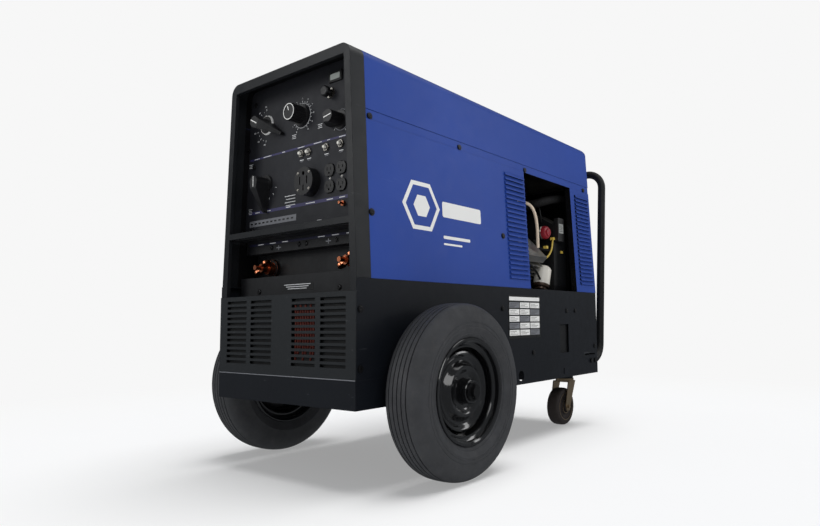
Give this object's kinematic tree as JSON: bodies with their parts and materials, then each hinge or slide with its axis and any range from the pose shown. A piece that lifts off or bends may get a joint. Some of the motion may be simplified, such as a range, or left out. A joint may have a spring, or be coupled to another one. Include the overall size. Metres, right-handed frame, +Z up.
{
  "type": "engine driven welder",
  "caption": "Engine driven welder: tapered blue canopy on a black skid, recessed control panel, open engine bay, two pneumatic wheels, swivel casters and a push handle.",
  "frame": {"origin": "on the floor under the middle of the whole machine", "axes": "+Z up, +Y from the control end to the handle end, +X to the side with the open engine bay"},
  "size_m": [0.778, 1.321, 1.01],
  "materials": {
    "skid_black": "textured semi-gloss",
    "body_blue": "satin",
    "panel_black": "fine matt texture",
    "zinc": "zinc plated",
    "cast_engine": "cast",
    "engine_paint": "satin black",
    "rotor_steel": "machined",
    "black_plastic": "moulded",
    "gloss_plastic": "moulded",
    "rubber": "matt",
    "tyre": "ribbed",
    "rim_black": "gloss",
    "brass": "plated",
    "filter_white": "satin",
    "pump_red": "moulded",
    "muffler_steel": "heat tinted",
    "tank_paint": "satin",
    "button_white": "moulded"
  },
  "bodies": {
    "root": {"skid_frame": "skid_black", "floor_pan": "skid_black", "cross_members": "skid_black", "base_side_panels": "skid_black", "front_vent_panel": "panel_black", "base_rear_panel": "skid_black", "front_bezel": "panel_black", "control_panel": "panel_black", "terminal_panel": "panel_black", "hood": "body_blue", "side_panel_right": "body_blue", "side_panel_left": "body_blue", "rear_posts": "body_blue", "rear_panel": "body_blue", "door_hinges": "zinc", "panel_screws": "zinc", "generator_housing": "engine_paint", "engine_block": "cast_engine", "cylinder_heads": "cast_engine", "blower_housing": "engine_paint", "engine_mounts": "rubber", "carburettor": "cast_engine", "air_cleaner": "black_plastic", "muffler": "muffler_steel", "oil_filter": "filter_white", "battery": "black_plastic", "regulator_box": "gloss_plastic", "fuel_pump": "pump_red", "fuel_tank": "tank_paint", "inner_supports": "zinc", "hoses_and_leads": "rubber", "panel_switches": "gloss_plastic", "receptacles": "black_plastic", "hour_meter": "gloss_plastic", "terminal_studs": "brass", "wing_nuts": "brass", "axle": "zinc", "caster_plates": "zinc", "handle": "skid_black"},
    "wheel_right": {"tyre_right": "tyre", "rim_right": "rim_black"},
    "wheel_left": {"tyre_left": "tyre", "rim_left": "rim_black"},
    "caster_swivel_right": {"caster_fork_right": "zinc"},
    "caster_swivel_left": {"caster_fork_left": "zinc"},
    "caster_roller_right": {"caster_wheel_right": "rubber"},
    "caster_roller_left": {"caster_wheel_left": "rubber"},
    "generator_rotor": {"crank_rotor": "rotor_steel"},
    "range_switch": {"range_switch_knob": "black_plastic"},
    "process_switch": {"process_switch_knob": "black_plastic"},
    "fine_control": {"fine_control_knob": "black_plastic"},
    "engine_switch": {"engine_switch_knob": "black_plastic"},
    "choke": {"choke_knob": "black_plastic"},
    "breaker_1": {"breaker_button_1": "button_white"},
    "breaker_2": {"breaker_button_2": "button_white"},
    "breaker_3": {"breaker_button_3": "button_white"},
    "breaker_4": {"breaker_button_4": "button_white"},
    "filler_cap": {"fuel_cap": "black_plastic"},
    "oil_dipstick": {"dipstick": "zinc"},
    "service_door": {"engine_door": "body_blue"}
  },
  "joints": [
    {"name": "wheel_spin_right", "type": "hinge", "parent": "root", "child": "wheel_right", "pos_m": [0.331, -0.4155, 0.203], "axis": [1, 0, 0], "continuous": true},
    {"name": "caster_turn_right", "type": "hinge", "parent": "root", "child": "caster_swivel_right", "pos_m": [0.152, 0.4375, 0.15], "axis": [0, 0, 1], "continuous": true},
    {"name": "caster_spin_right", "type": "hinge", "parent": "caster_swivel_right", "child": "caster_roller_right", "pos_m": [0.152, 0.4025, 0.0635], "axis": [1, 0, 0], "continuous": true},
    {"name": "wheel_spin_left", "type": "hinge", "parent": "root", "child": "wheel_left", "pos_m": [-0.331, -0.4155, 0.203], "axis": [1, 0, 0], "continuous": true},
    {"name": "caster_turn_left", "type": "hinge", "parent": "root", "child": "caster_swivel_left", "pos_m": [-0.152, 0.4375, 0.15], "axis": [0, 0, 1], "continuous": true},
    {"name": "caster_spin_left", "type": "hinge", "parent": "caster_swivel_left", "child": "caster_roller_left", "pos_m": [-0.152, 0.4025, 0.0635], "axis": [1, 0, 0], "continuous": true},
    {"name": "engine_spin", "type": "hinge", "parent": "root", "child": "generator_rotor", "pos_m": [0, -0.2605, 0.43], "axis": [0, 1, 0], "continuous": true},
    {"name": "range_turn", "type": "hinge", "parent": "root", "child": "range_switch", "pos_m": [-0.152, -0.5995, 0.886], "axis": [0, 1, 0], "range_deg": [-60, 60]},
    {"name": "process_turn", "type": "hinge", "parent": "root", "child": "process_switch", "pos_m": [-0.15, -0.5995, 0.728], "axis": [0, 1, 0], "range_deg": [-60, 60]},
    {"name": "fine_turn", "type": "hinge", "parent": "root", "child": "fine_control", "pos_m": [-0.008, -0.5995, 0.882], "axis": [0, 1, 0], "range_deg": [-150, 150]},
    {"name": "engine_switch_turn", "type": "hinge", "parent": "root", "child": "engine_switch", "pos_m": [0.136, -0.5995, 0.842], "axis": [0, 1, 0], "range_deg": [-60, 60]},
    {"name": "choke_pull", "type": "slide", "parent": "root", "child": "choke", "axis": [0, -1, 0], "range_m": [0, 0.04]},
    {"name": "breaker_press_1", "type": "slide", "parent": "root", "child": "breaker_1", "axis": [0, 1, 0], "range_m": [0, 0.002], "stiffness_N_per_m": 150},
    {"name": "breaker_press_2", "type": "slide", "parent": "root", "child": "breaker_2", "axis": [0, 1, 0], "range_m": [0, 0.002], "stiffness_N_per_m": 150},
    {"name": "breaker_press_3", "type": "slide", "parent": "root", "child": "breaker_3", "axis": [0, 1, 0], "range_m": [0, 0.002], "stiffness_N_per_m": 150},
    {"name": "breaker_press_4", "type": "slide", "parent": "root", "child": "breaker_4", "axis": [0, 1, 0], "range_m": [0, 0.002], "stiffness_N_per_m": 150},
    {"name": "cap_turn", "type": "hinge", "parent": "root", "child": "filler_cap", "pos_m": [-0.12, -0.3605, 0.997], "axis": [0, 0, 1], "range_deg": [0, 90]},
    {"name": "dipstick_pull", "type": "slide", "parent": "root", "child": "oil_dipstick", "axis": [0, 0, 1], "range_m": [0, 0.18]},
    {"name": "door_open", "type": "hinge", "parent": "root", "child": "service_door", "pos_m": [-0.25799, 0.3555, 0.45955], "axis": [-0.0497, 0, -0.9988], "range_deg": [0, 110]}
  ]
}
